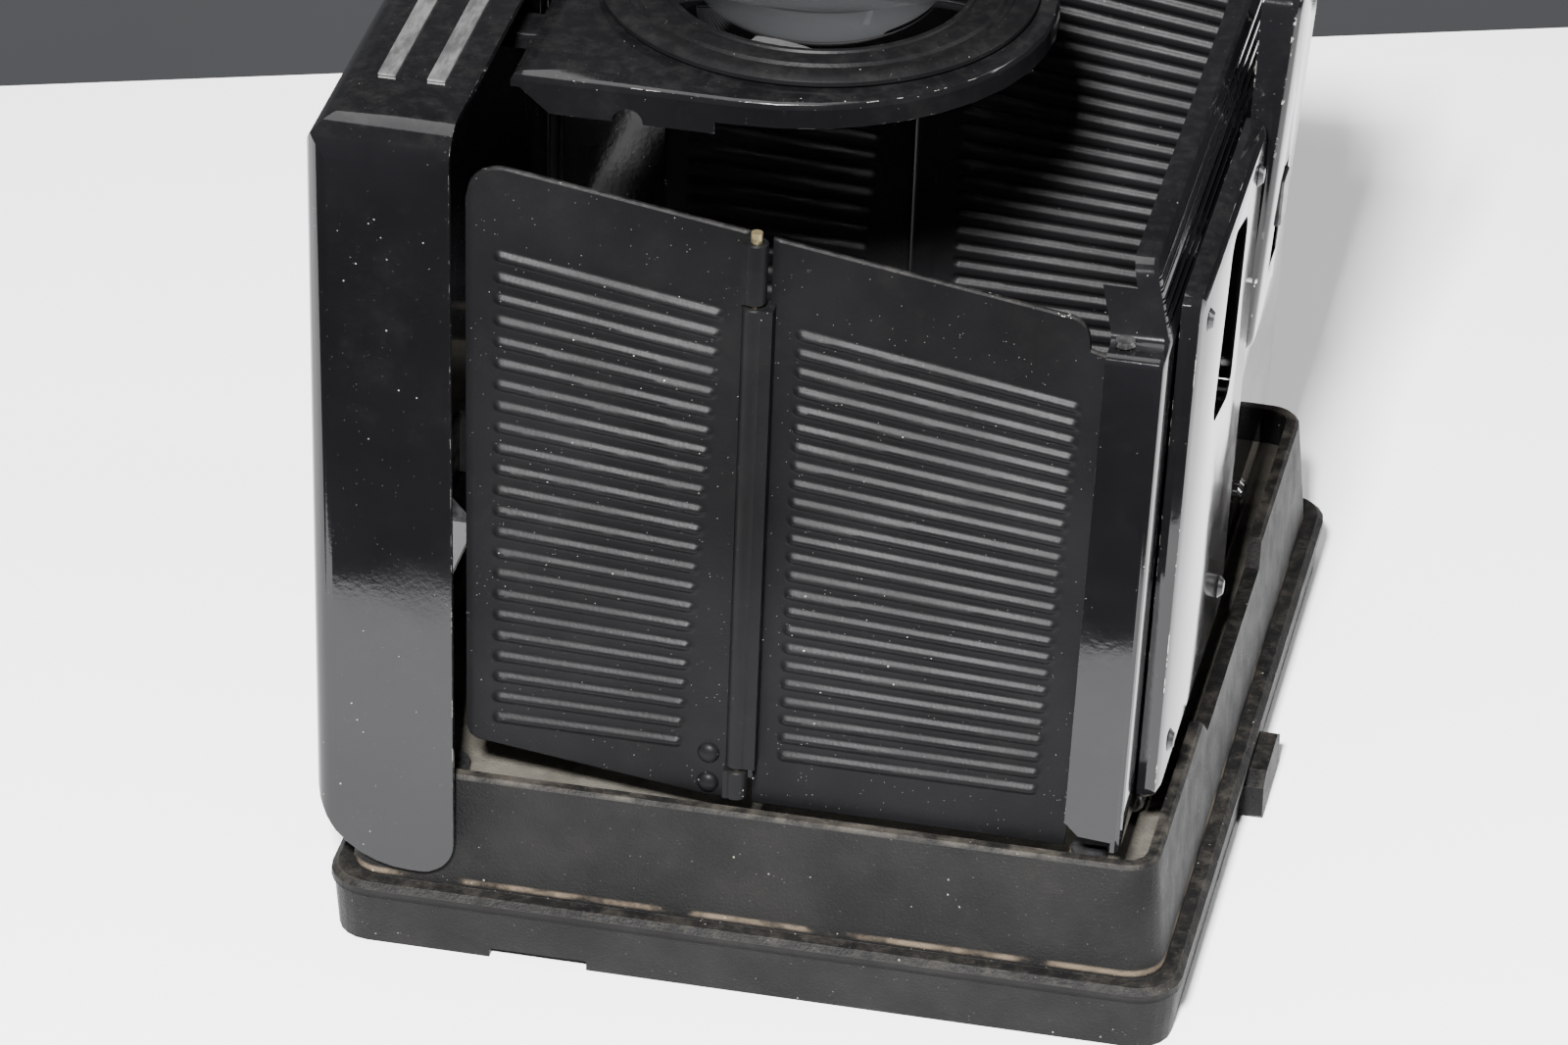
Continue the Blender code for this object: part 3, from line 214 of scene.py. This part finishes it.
def metalFinish(name, look):
    s = Shader(name)
    tone = s.span(s.noise(look["scale"], 7, look.get("stretch"), 0.65), 0.32, 0.7)
    colour = s.mix(tone, look["dark"], look["light"])
    dirt = s.span(s.noise(look["scale"] * 0.4, 5), 0.52, 0.72)
    colour = s.mix(s.math("MULTIPLY", dirt, look["dirt"]), colour, (0.03, 0.027, 0.024))
    s.put(s.skin.inputs["Base Color"], colour)
    s.put(s.skin.inputs["Roughness"], s.blend(tone, look["rough"][1], look["rough"][0]))
    s.skin.inputs["Metallic"].default_value = look.get("metallic", 1.0)
    s.put(s.skin.inputs["Normal"], s.bump(s.noise(look["scale"] * 3, 3, look.get("stretch")), 0.12, 0.0002))
    return s.mat


# values a user may change: one dictionary for each finish
glossLook = {"dark": (0.0022, 0.0022, 0.0025), "light": (0.004, 0.004, 0.0045), "rough": (0.05, 0.12),
             "cloudScale": 25, "film": 0.014, "haze": 0.006, "dust": (0.30, 0.28, 0.25),
             "speck": (0.24, 0.23, 0.21), "speckScale": 1500, "speckSize": 0.13, "speckShare": 0.14,
             "chip": 0.755, "chipScale": 420, "metal": (0.62, 0.60, 0.56), "specular": 0.30,
             "grainScale": 1500, "grain": 0.02, "wave": 0.10}
edgeLook = dict(glossLook, chip=0.555, chipScale=330, rough=(0.12, 0.25), film=0.03)
satinLook = {"dark": (0.0022, 0.0022, 0.0024), "light": (0.0042, 0.0042, 0.0046), "rough": (0.42, 0.50),
             "cloudScale": 40, "film": 0.015, "haze": 0.006, "dust": (0.24, 0.22, 0.19),
             "speck": (0.22, 0.20, 0.18), "speckScale": 1500, "speckSize": 0.15, "speckShare": 0.14,
             "chip": 0.81, "chipScale": 500, "metal": (0.5, 0.48, 0.44), "specular": 0.065,
             "grainScale": 2600, "grain": 0.10, "wave": 0.05}
satinEdgeLook = dict(satinLook, chip=0.63, chipScale=450, film=0.06)
castLook = {"dark": (0.0030, 0.0030, 0.0032), "light": (0.0062, 0.0060, 0.0058), "rough": (0.50, 0.62),
            "cloudScale": 90, "film": 0.07, "haze": 0.014, "dust": (0.20, 0.175, 0.145),
            "speck": (0.20, 0.18, 0.15), "speckScale": 1500, "speckSize": 0.18, "speckShare": 0.14,
            "chip": 0.86, "chipScale": 300, "metal": (0.45, 0.43, 0.4), "specular": 0.09,
            "grainScale": 3400, "grain": 0.5, "wave": 0.04}
castEdgeLook = dict(castLook, dark=(0.008, 0.0077, 0.0071), light=(0.015, 0.014, 0.0125), film=0.14)
steelLook = {"dark": (0.30, 0.30, 0.30), "light": (0.62, 0.61, 0.60), "rough": (0.22, 0.42), "scale": 500,
             "dirt": 0.7}
blackSteelLook = {"dark": (0.015, 0.015, 0.016), "light": (0.05, 0.05, 0.052), "rough": (0.28, 0.45),
                  "scale": 600, "dirt": 0.5, "metallic": 0.6}
brassLook = {"dark": (0.30, 0.24, 0.13), "light": (0.62, 0.54, 0.36), "rough": (0.3, 0.55), "scale": 700,
             "dirt": 0.8}
silverLook = {"dark": (0.50, 0.50, 0.49), "light": (0.78, 0.78, 0.77), "rough": (0.30, 0.50), "scale": 900,
              "dirt": 0.25, "stretch": (1.0, 0.2, 1.0)}


# Dirt in the corner between flange and collar, a dusty rim and deck, one rust spot, and painted shade: a
# near-black band along the step at 6.2 to 6.7 mm.
def baseMarks(s):
    corner = s.math("MULTIPLY", s.band("Z", 0.0083, 0.0089, 0.0002), s.span(s.noise(130, 7), 0.42, 0.62))
    rim = s.math("MULTIPLY", s.band("Z", 0.0213, 0.0222, 0.0002), s.span(s.noise(260, 7), 0.42, 0.66))
    # painted shade: an even near-black band along the step, darker than the casting around it
    stepShade = s.math("MULTIPLY", s.band("Z", 0.0062, 0.0067, 0.0002), 0.9)
    up = s.span(s.axis("Z", "Normal"), 0.8, 0.95)
    deck = s.math("MULTIPLY", s.math("MULTIPLY", s.band("Z", 0.0162, 0.0176, 0.0004), up),
                  s.span(s.noise(120, 7), 0.2, 0.6))
    return [(s.math("MULTIPLY", rim, 0.10), (0.25, 0.22, 0.18), 0.8),
            (s.math("MULTIPLY", corner, 0.28), (0.26, 0.20, 0.14), 0.85),
            (s.math("MULTIPLY", deck, 0.20), (0.26, 0.24, 0.20), 0.9),
            (stepShade, (0.002, 0.002, 0.002), 0.6),
            (s.spot((0.0379, -0.0495, 0.0079), 0.0013), (0.40, 0.12, 0.05), 0.85)]


# Fine level grooves pressed across the band under the rear wall's top lip.
def bandGrooves(s):
    turns = s.math("DIVIDE", s.axis("Z"), 0.0013 / (2 * pi))
    wave = s.span(s.math("SINE", turns), -0.2, 1.0)
    facing = s.span(s.axis("X", "Normal"), 0.55, 0.8)
    return s.math("MULTIPLY", s.math("MULTIPLY", wave, facing), s.band("Z", 0.0852, 0.0916, 0.0002))


glossBlack = blackFinish("glossBlack", glossLook)
groovedLook = dict(glossLook, rough=(0.06, 0.14), film=0.012)
groovedBlack = blackFinish("groovedBlack", groovedLook, relief=bandGrooves)
glossEdge = blackFinish("glossEdge", edgeLook)
satinBlack = blackFinish("satinBlack", satinLook)
satinEdge = blackFinish("satinEdge", satinEdgeLook)
castBlack = blackFinish("castBlack", castLook, baseMarks)
castEdge = blackFinish("castEdge", castEdgeLook, baseMarks)
steel = metalFinish("wornSteel", steelLook)
blackSteel = metalFinish("blackSteel", blackSteelLook)
brass = metalFinish("wornBrass", brassLook)
silver = metalFinish("silverTrim", silverLook)


def glassFinish():
    s = Shader("lensGlass")
    smear = s.span(s.noise(60, 6), 0.45, 0.75)
    s.put(s.skin.inputs["Roughness"], s.blend(smear, 0.0, 0.03))
    s.put(s.skin.inputs["Base Color"], s.mix(s.specks(500, 0.2, 0.1), (0.97, 0.98, 0.97), (0.8, 0.8, 0.78)))
    s.skin.inputs["Transmission Weight"].default_value = 1.0
    s.skin.inputs["IOR"].default_value = 1.52
    return s.mat


lensGlass = glassFinish()
finishOf = {"cast_black": castBlack, "gloss_black": glossBlack, "satin_black": satinBlack,
            "black_steel": blackSteel, "steel": steel, "brass": brass, "silver_trim": silver,
            "glass": lensGlass}
print("stage: materials")


def addPiece(name, bm, body, mats, replaced):
    bmesh.ops.recalc_face_normals(bm, faces=bm.faces)
    mesh = bpy.data.meshes.new(name)
    bm.to_mesh(mesh)
    bm.free()
    for mat in mats:
        mesh.materials.append(mat)
    for poly in mesh.polygons:
        poly.use_smooth = True
    mesh.set_sharp_from_angle(angle=radians(35))
    ob = bpy.data.objects.new(name, mesh)
    hood.objects.link(ob)
    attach(ob, body)
    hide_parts(*replaced)
    return ob


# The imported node's form with its edges rounded over; the rounded strips take the worn finish.
def refined(name, node, body, mats, width, segments=3, angle=30):
    bm = bmesh.new()
    bm.from_mesh(frame["nodes"][node].data)
    bmesh.ops.remove_doubles(bm, verts=bm.verts[:], dist=0.000004)
    bmesh.ops.dissolve_limit(bm, angle_limit=radians(1.2), verts=bm.verts[:], edges=bm.edges[:])
    for face in bm.faces:
        face.material_index = 0
    ob = addPiece(name, bm, body, mats, [node])
    mod = ob.modifiers.new("roundedEdges", "BEVEL")
    mod.width = width * mm
    mod.segments = segments
    mod.limit_method = "ANGLE"
    mod.angle_limit = radians(angle)
    mod.use_clamp_overlap = True
    mod.harden_normals = True
    mod.miter_outer = "MITER_ARC"
    mod.material = 1 if len(mats) > 1 else -1
    return ob


# Closed ring of section points (radius, height) turned about a vertical axis.
def lathe(bm, profile, centre, sides, mat=0, shift=None):
    rings = []
    for k in range(sides):
        a = 2 * pi * k / sides
        ring = []
        for r, z in profile:
            x, y = centre[0] + r * cos(a), centre[1] + r * sin(a)
            if shift:
                x += shift(x, z)
            ring.append(bm.verts.new((x * mm, y * mm, z * mm)))
        rings.append(ring)
    for k in range(sides):
        a, b = rings[k], rings[(k + 1) % sides]
        for i in range(len(profile)):
            j = (i + 1) % len(profile)
            face = bm.faces.new((a[i], b[i], b[j], a[j]))
            face.material_index = mat


# A low rounded head standing on a plane through centre.
def dome(bm, centre, axis, radius, height, mat=0, rings=6, sides=20):
    turn = Vector((0, 0, 1)).rotation_difference(Vector(axis)).to_matrix()
    levels = []
    for i in range(rings):
        a = (pi / 2) * i / rings
        levels.append((radius * cos(a), height * sin(a)))
    levels.insert(0, (radius, -height * 0.6))
    loops = []
    for r, h in levels:
        loops.append([bm.verts.new((Vector(centre) + turn @ Vector((r * cos(2 * pi * k / sides),
                                                                    r * sin(2 * pi * k / sides), h))) * mm)
                      for k in range(sides)])
    for low, high in zip(loops, loops[1:]):
        for k in range(sides):
            n = (k + 1) % sides
            bm.faces.new((low[k], low[n], high[n], high[k])).material_index = mat
    tip = bm.verts.new((Vector(centre) + turn @ Vector((0, 0, height))) * mm)
    for k in range(sides):
        bm.faces.new((loops[-1][k], loops[-1][(k + 1) % sides], tip)).material_index = mat
    bm.faces.new(loops[0][::-1]).material_index = mat


def block(bm, low, high, shift=None, mat=0):
    made = bmesh.ops.create_cube(bm, size=1.0)
    for v in made["verts"]:
        p = [low[i] if v.co[i] < 0 else high[i] for i in range(3)]
        if shift:
            p[0] += shift(p[0], p[2])
        v.co = Vector(p) * mm
    for face in {f for v in made["verts"] for f in v.link_faces}:
        face.material_index = mat


wallValues = {
    "outerY": 49.0, "sheet": 0.8, "midX": -2.4, "postX": 35.6, "freeX": -33.0, "bottom": 21.6,
    "freeTop": 97.4, "slope": 0.157, "freeLift": 25.2, "ribHeight": 0.50, "ribWidth": 1.45,
    "frontRibs": 23, "rearRibs": 24, "ribLow": 28.3, "ribTopMargin": 10.7, "leanFrom": 22.0,
    "midLean": 0.65, "postLean": 1.9, "rowStep": 0.24, "midY": 50.0, "postY": 47.8,
    "midBarrel": 1.25, "postBarrel": 1.1, "bore": 0.75, "pipRadius": 1.25, "pipHeight": 0.75,
    "cornerRadius": 4.6, "pipHeights": (23.6, 27.4),
}


def wallTop(x):
    return wallValues["freeTop"] - (x - wallValues["freeX"]) * wallValues["slope"]


def wallShift(x, z):
    w = wallValues
    share = (x - w["midX"]) / (w["postX"] - w["midX"])
    return tan(radians(w["midLean"] + (w["postLean"] - w["midLean"]) * share)) * max(0.0, z - w["leanFrom"])


def ramp(value):
    value = min(1.0, max(0.0, value))
    return value * value * (3 - 2 * value)


def ribHeight(x, z, start, end, count, inset):
    w = wallValues
    top = wallTop(x) - w["ribTopMargin"]
    pitch = (top - w["ribLow"]) / (count - 1)
    k = min(count - 1, max(0, round((z - w["ribLow"]) / pitch)))
    dz = z - (w["ribLow"] + k * pitch)
    half = w["ribWidth"] / 2
    right = end - inset * (1 - k / (count - 1))
    dx = max(start + half - x, x - (right - half), 0.0)
    reach = min(1.0, sqrt(dx * dx + dz * dz) / (half * 1.1))
    return w["ribHeight"] * cos(reach * pi / 2) ** 1.6


def columnsBetween(low, high, ribStart, ribEnd, inset):
    xs, x = [low], low
    while x < high - 0.05:
        nearEnd = abs(x - ribStart) < 1.6 or ribEnd - inset - 1.6 < x < ribEnd + 1.0
        nearRim = x - low < 5.0 or high - x < 5.0
        x += 0.26 if nearEnd else (0.45 if nearRim else 1.3)
        xs.append(min(x, high))
    return xs


def ribbedHalf(bm, side, low, high, bottomAt, topAt, ribs):
    w = wallValues
    start, end, count, inset = ribs
    xs = columnsBetween(low, high, start, end, inset)
    rows = int((w["freeTop"] - w["bottom"]) / w["rowStep"])
    outer, inner = [], []
    for i, x in enumerate(xs):
        lowZ, highZ = bottomAt(x), topAt(x)
        outerColumn, innerColumn = [], []
        for j in range(rows + 1):
            z = lowZ + (highZ - lowZ) * j / rows
            h = ribHeight(x, z, start, end, count, inset)
            rim = i in (0, len(xs) - 1) or j in (0, rows)
            back = 0.22 if rim else 0.0
            px = x + wallShift(x, z)
            outerColumn.append(bm.verts.new((px * mm, side * (w["outerY"] + h - back) * mm, z * mm)))
            innerY = w["outerY"] - w["sheet"] + h + back
            innerColumn.append(bm.verts.new((px * mm, side * innerY * mm, z * mm)))
        outer.append(outerColumn)
        inner.append(innerColumn)
    for i in range(len(xs) - 1):
        for j in range(rows):
            edge = 1 if i in (0, len(xs) - 2) or j in (0, rows - 1) else 0
            for grid, flip in ((outer, False), (inner, True)):
                quad = (grid[i][j], grid[i + 1][j], grid[i + 1][j + 1], grid[i][j + 1])
                bm.faces.new(quad[::-1] if flip else quad).material_index = edge
    for j in range(rows):
        for i in (0, -1):
            bm.faces.new((outer[i][j], inner[i][j], inner[i][j + 1], outer[i][j + 1])).material_index = 1
    for i in range(len(xs) - 1):
        for j in (0, -1):
            bm.faces.new((outer[i][j], outer[i + 1][j], inner[i + 1][j], inner[i][j])).material_index = 1


# Hinge knuckle with eased ends, and the strip that ties it to the sheet.
def barrel(bm, side, x, y, radius, bore, low, high, web):
    ease = 0.18
    section = [(bore, low), (radius - ease, low), (radius, low + ease), (radius, high - ease),
               (radius - ease, high), (bore, high)]
    lathe(bm, section, (x, side * y), 28, 0, wallShift)
    ys = sorted((side * web[2], side * web[3]))
    block(bm, (web[0], ys[0], low + 0.05), (web[1], ys[1], high - 0.05), wallShift)


def buildWalls():
    w = wallValues
    for side, tag in ((-1, "near"), (1, "far")):
        # rear half
        low, high = w["midX"] + 1.5, w["postX"] - 0.3
        corner = w["postX"] - 3.4

        def rearTop(x):
            if x <= corner - 2.6:
                return wallTop(x)
            if x <= corner:
                t = (x - (corner - 2.6)) / 2.6
                return wallTop(corner - 2.6) - 3.0 * (1 - sqrt(max(0.0, 1 - t * t)))
            return max(82.4, wallTop(corner) - 3.4 - (x - corner) * 0.3)

        def rearBottom(x):
            notch = w["postX"] - 1.6
            return w["bottom"] + (6.0 * ramp((x - notch) / 0.5) if x > notch else 0.0)

        bm = bmesh.new()
        ribbedHalf(bm, side, low, high, rearBottom, rearTop,
                   (low + 2.7, w["postX"] - 3.7, w["rearRibs"], 1.2))
        barrel(bm, side, w["midX"], w["midY"], w["midBarrel"], w["bore"], 27.0, 84.6,
               (w["midX"] + 0.2, low + 0.6, 50.9, 48.3))
        barrel(bm, side, w["postX"], w["postY"], w["postBarrel"], w["bore"], 28.2, 82.1,
               (high - 0.6, w["postX"], 48.9, 48.3))
        addPiece(tag + "RearWall", bm, tag + "_rear_half", [satinBlack, satinEdge],
                 [tag + "_rear_panel"])
        # front half
        frontLow, frontHigh = w["freeX"], w["midX"] - 0.95

        def frontTop(x):
            d = x - frontLow
            r = w["cornerRadius"]
            return wallTop(x) - (r - sqrt(max(0.0, r ** 2 - (r - d) ** 2)) if d < r else 0.0)

        def frontBottom(x):
            t = (x - frontLow) / (frontHigh - 2.5 - frontLow)
            line = w["freeLift"] + (w["bottom"] + 0.2 - w["freeLift"]) * min(1.0, t)
            d = x - frontLow
            return line + (1.5 - sqrt(max(0.0, 2.25 - (1.5 - d) ** 2)) if d < 1.5 else 0.0)

        bm = bmesh.new()
        ribbedHalf(bm, side, frontLow, frontHigh, frontBottom, frontTop,
                   (frontLow + 3.0, frontHigh - 2.35, w["frontRibs"], 3.0))
        for z0, z1 in ((85.0, wallTop(w["midX"]) - 0.2), (23.0, 26.6)):
            barrel(bm, side, w["midX"], w["midY"], w["midBarrel"], w["bore"], z0, z1,
                   (frontHigh - 0.4, w["midX"] - 0.2, 50.9, 48.3))
        for z in w["pipHeights"]:
            dome(bm, (frontHigh - 2.45 + wallShift(-5.8, z), side * (w["outerY"] - 0.05), z),
                 (0, side, 0), w["pipRadius"], w["pipHeight"])
        addPiece(tag + "FrontWall", bm, tag + "_front_half", [satinBlack, satinEdge],
                 [tag + "_front_panel"])


buildWalls()
print("stage: side walls")


refined("castBase", "base_frame", "base", [castBlack, castEdge], 0.30)
refined("lidShell", "lid_shell", "lid", [glossBlack, glossEdge], 0.30)
refined("rearWall", "rear_wall", "rear", [groovedBlack, glossEdge], 0.22)
refined("raisedPlate", "rear_raised_plate", "rear", [glossBlack, glossEdge], 0.35)
refined("catchHousing", "catch_housing", "rear", [glossBlack, glossEdge], 0.35)
refined("magnifierPlate", "magnifier_plate", "magnifier", [glossBlack, glossEdge], 0.30)
refined("magnifierBracket", "magnifier_bracket", "lid", [glossBlack, glossEdge], 0.20)
print("stage: pressings")


lensValues = {"x": -5.5, "radius": 17.6, "ringOuter": 24.4, "ringInner": 16.8, "sides": 144,
              "edgeTop": 97.0, "domeRings": 22, "underRings": 6}


def buildLens():
    v = lensValues
    low, high = (p / mm for p in (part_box("magnifier_lens")[0].z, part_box("magnifier_lens")[1].z))
    edgeTop = v["edgeTop"]
    bulge = high - edgeTop
    curve = (v["radius"] ** 2 + bulge ** 2) / (2 * bulge)
    bm = bmesh.new()
    rings = []
    steps = v["domeRings"]
    radii = [v["radius"] * (1 - i / steps) for i in range(steps)]
    count = v["underRings"]
    under = [(v["radius"] * i / count, low) for i in range(1, count)]
    under += [(v["radius"] - 0.2, low), (v["radius"], low + 0.2)]
    section = under + [(r, edgeTop - curve + bulge + sqrt(max(0.0, curve ** 2 - r ** 2))) for r in radii]
    for r, z in section:
        ring = []
        for k in range(v["sides"]):
            a = 2 * pi * k / v["sides"]
            ring.append(bm.verts.new(((v["x"] + r * cos(a)) * mm, r * sin(a) * mm, z * mm)))
        rings.append(ring)
    for a, b in zip(rings, rings[1:]):
        for k in range(v["sides"]):
            n = (k + 1) % v["sides"]
            bm.faces.new((a[k], a[n], b[n], b[k]))
    for ring, z in ((rings[0], low), (rings[-1], edgeTop + bulge)):
        tip = bm.verts.new((v["x"] * mm, 0.0, z * mm))
        for k in range(v["sides"]):
            bm.faces.new((ring[k], ring[(k + 1) % v["sides"]], tip))
    addPiece("lens", bm, "magnifier", [lensGlass], ["magnifier_lens"])


def buildRing():
    v = lensValues
    low, high = (p / mm for p in (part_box("lens_retaining_ring")[0].z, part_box("lens_retaining_ring")[1].z))
    outer, inner = v["ringOuter"], v["ringInner"]
    bm = bmesh.new()
    section = [(inner, low), (outer - 0.2, low), (outer, low + 0.2), (outer, high - 0.55),
               (outer - 0.3, high - 0.25),
               (outer - 0.9, high - 0.05), (outer - 1.6, high), (outer - 2.4, high - 0.08),
               (outer - 2.7, high - 0.42), (outer - 3.3, high - 0.46), (outer - 3.6, high - 0.12),
               (outer - 4.6, high - 0.08), (inner + 1.9, high - 0.12), (inner + 1.7, high - 0.5),
               (inner + 0.9, high - 0.55), (inner + 0.75, high - 0.3), (inner + 0.2, high - 0.3),
               (inner, high - 0.5)]
    lathe(bm, section, (v["x"], 0.0), v["sides"])
    addPiece("retainingRing", bm, "magnifier", [satinBlack], ["lens_retaining_ring"])


buildLens()
buildRing()
print("stage: magnifier")


for node, ob in frame["nodes"].items():
    for part in frame["record"]["subparts"]:
        if part["node"] == node:
            ob.data.materials.clear()
            ob.data.materials.append(finishOf[part["material_slot"]])
print("stage: small parts")


stageValues = {
    "floorWhite": (0.92, 0.925, 0.935), "floorFar": ((-0.1409, 0.1293, 0), (0.0588, 0.1991, 0)),
    "floorFront": -0.127, "floorReach": 1.2, "backGrey": (0.085, 0.088, 0.094), "backGap": 1.3,
    "backBelow": -1.5, "backAbove": 1.2, "backReach": 1.5, "key": 66.0, "fill": 4.0, "side": 5.0,
    "world": 0.07, "worldTint": (0.6, 0.62, 0.65, 1), "aimAt": (0, 0, 0.05),
}
cameraValues = {"place": (0.14813, -0.78297, 0.50731), "yaw": -0.1966, "pitch": 0.5408, "roll": 0.0280,
                "lens": 186.9, "sensor": 36.0}


def plainMaterial(name, colour, rough, variation):
    s = Shader(name)
    shade = tuple(c * (1 - variation) for c in colour)
    s.put(s.skin.inputs["Base Color"], s.mix(s.span(s.noise(4, 4), 0.3, 0.7), colour, shade))
    s.skin.inputs["Roughness"].default_value = rough
    return s.mat


def flat(name, corners, mat):
    mesh = bpy.data.meshes.new(name)
    mesh.from_pydata([Vector(c) for c in corners], [], [tuple(range(len(corners)))])
    mesh.materials.append(mat)
    ob = bpy.data.objects.new(name, mesh)
    bpy.context.scene.collection.objects.link(ob)
    return ob


def aim(ob, target):
    ob.rotation_euler = (Vector(target) - ob.location).to_track_quat("-Z", "Y").to_euler()


def areaLight(name, place, target, size, power):
    data = bpy.data.lights.new(name, "AREA")
    data.shape = "RECTANGLE"
    data.size, data.size_y = size
    data.energy = power
    ob = bpy.data.objects.new(name, data)
    ob.location = place
    aim(ob, target)
    bpy.context.scene.collection.objects.link(ob)
    return ob


def buildFloor():
    v = stageValues
    far = [Vector(p) for p in v["floorFar"]]
    along = (far[1] - far[0]).normalized()
    left, right = far[0] - along * v["floorReach"], far[1] + along * v["floorReach"]
    flat("floor", [(left.x, v["floorFront"], 0), (right.x, v["floorFront"], 0), right, left],
         plainMaterial("floorPaper", v["floorWhite"], 0.75, 0.02))
    behind = Vector((0, v["backGap"], 0))
    below, above = Vector((0, 0, v["backBelow"])), Vector((0, 0, v["backAbove"]))
    wide = along * v["backReach"]
    flat("backdrop", [left - wide + behind + below, right + wide + behind + below,
                      right + wide + behind + above, left - wide + behind + above],
         plainMaterial("backdropGrey", v["backGrey"], 0.9, 0.05))


def buildLights(eye):
    v = stageValues
    areaLight("keyLight", eye + Vector((-0.10, 0.05, 0.14)), v["aimAt"], (0.10, 0.07), v["key"])
    areaLight("fillLight", (-0.15, 0.05, 0.95), v["aimAt"], (0.6, 0.5), v["fill"])
    areaLight("sideLight", (0.8, 0.2, 0.45), v["aimAt"], (0.3, 0.4), v["side"])
    world = bpy.data.worlds.new("studio")
    world.use_nodes = True
    world.node_tree.nodes["Background"].inputs[0].default_value = v["worldTint"]
    world.node_tree.nodes["Background"].inputs[1].default_value = v["world"]
    bpy.context.scene.world = world


def buildCamera(eye):
    v = cameraValues
    data = bpy.data.cameras.new("camera")
    data.sensor_fit = "HORIZONTAL"
    data.sensor_width = v["sensor"]
    data.lens = v["lens"]
    data.clip_start = 0.01
    camera = bpy.data.objects.new("camera", data)
    yaw, pitch, roll = v["yaw"], v["pitch"], v["roll"]
    forward = Vector((sin(yaw) * cos(pitch), cos(yaw) * cos(pitch), -sin(pitch)))
    level = Vector((cos(yaw), -sin(yaw), 0))
    over = level.cross(forward)
    across = level * cos(roll) + over * sin(roll)
    up = over * cos(roll) - level * sin(roll)
    camera.matrix_world = Matrix((
        (across.x, up.x, -forward.x, eye.x), (across.y, up.y, -forward.y, eye.y),
        (across.z, up.z, -forward.z, eye.z), (0, 0, 0, 1)))
    bpy.context.scene.collection.objects.link(camera)
    bpy.context.scene.camera = camera


viewpoint = Vector(cameraValues["place"])
buildFloor()
buildLights(viewpoint)
buildCamera(viewpoint)
print("stage: floor, lights and camera")
